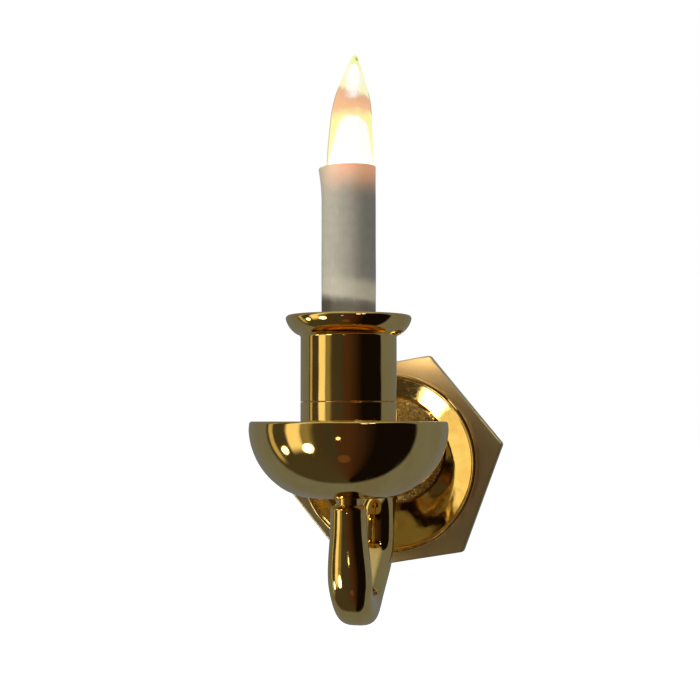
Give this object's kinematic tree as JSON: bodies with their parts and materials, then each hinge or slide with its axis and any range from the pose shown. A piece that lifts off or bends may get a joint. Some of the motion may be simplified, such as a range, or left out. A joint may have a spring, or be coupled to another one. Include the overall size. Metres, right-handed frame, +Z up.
{
  "type": "wall sconce candle holder",
  "caption": "One-twelfth scale electric candle wall sconce: hexagonal plate, dished rosette, U-shaped arm, drip pan, cup, white sleeve and flame-shaped bulb.",
  "frame": {"origin": "middle of the wire exit bush at the wall face of the back plate", "axes": "+Z up along the candle, +Y into the wall, the front faces -Y, +X to the right seen from the front"},
  "size_m": [0.0164, 0.0214, 0.0373],
  "materials": {
    "plated_brass": "polished gold plate over a casting",
    "satin_brass": "satin stamped sheet",
    "cup_brass": "polished turned brass",
    "solder": "dull soft solder",
    "nut_brass": "machined",
    "bush_plastic": "moulded nylon",
    "socket_insulator": "moulded insulator",
    "contact_metal": "drawn tube",
    "joint_insulation": "shrunk tubing",
    "wire_insulation": "extruded insulation",
    "sleeve_plastic": "soft white tubing",
    "clear_glass": "blown clear glass",
    "base_glass": "pressed insulating bead",
    "pin_metal": "drawn nickel iron wire",
    "filament_metal": "glowing tungsten coil"
  },
  "bodies": {
    "bracket": {"hex_back_plate": "satin_brass", "rosette_dish": "plated_brass", "scroll_arm": "plated_brass", "arm_solder_ring": "solder", "wire_exit_bush": "bush_plastic", "drip_pan": "plated_brass", "cup_base": "cup_brass", "stack_nut": "nut_brass", "candle_cup": "cup_brass", "lamp_socket": "socket_insulator", "socket_contact_left": "contact_metal", "socket_contact_right": "contact_metal", "joint_sleeve_left": "joint_insulation", "joint_sleeve_right": "joint_insulation", "feed_wire_left": "wire_insulation", "feed_wire_right": "wire_insulation"},
    "sleeve": {"candle_sleeve": "sleeve_plastic"},
    "bulb": {"bulb_glass": "clear_glass", "bulb_base": "base_glass", "bulb_pin_left": "pin_metal", "bulb_pin_right": "pin_metal", "filament_support_left": "pin_metal", "filament_support_right": "pin_metal", "filament_coil": "filament_metal"}
  },
  "joints": [
    {"name": "sleeve_lift", "type": "slide", "parent": "bracket", "child": "sleeve", "axis": [0, 0, 1], "range_m": [0, 0.022]},
    {"name": "bulb_pull", "type": "slide", "parent": "bracket", "child": "bulb", "axis": [0, 0, 1], "range_m": [0, 0.008]}
  ]
}
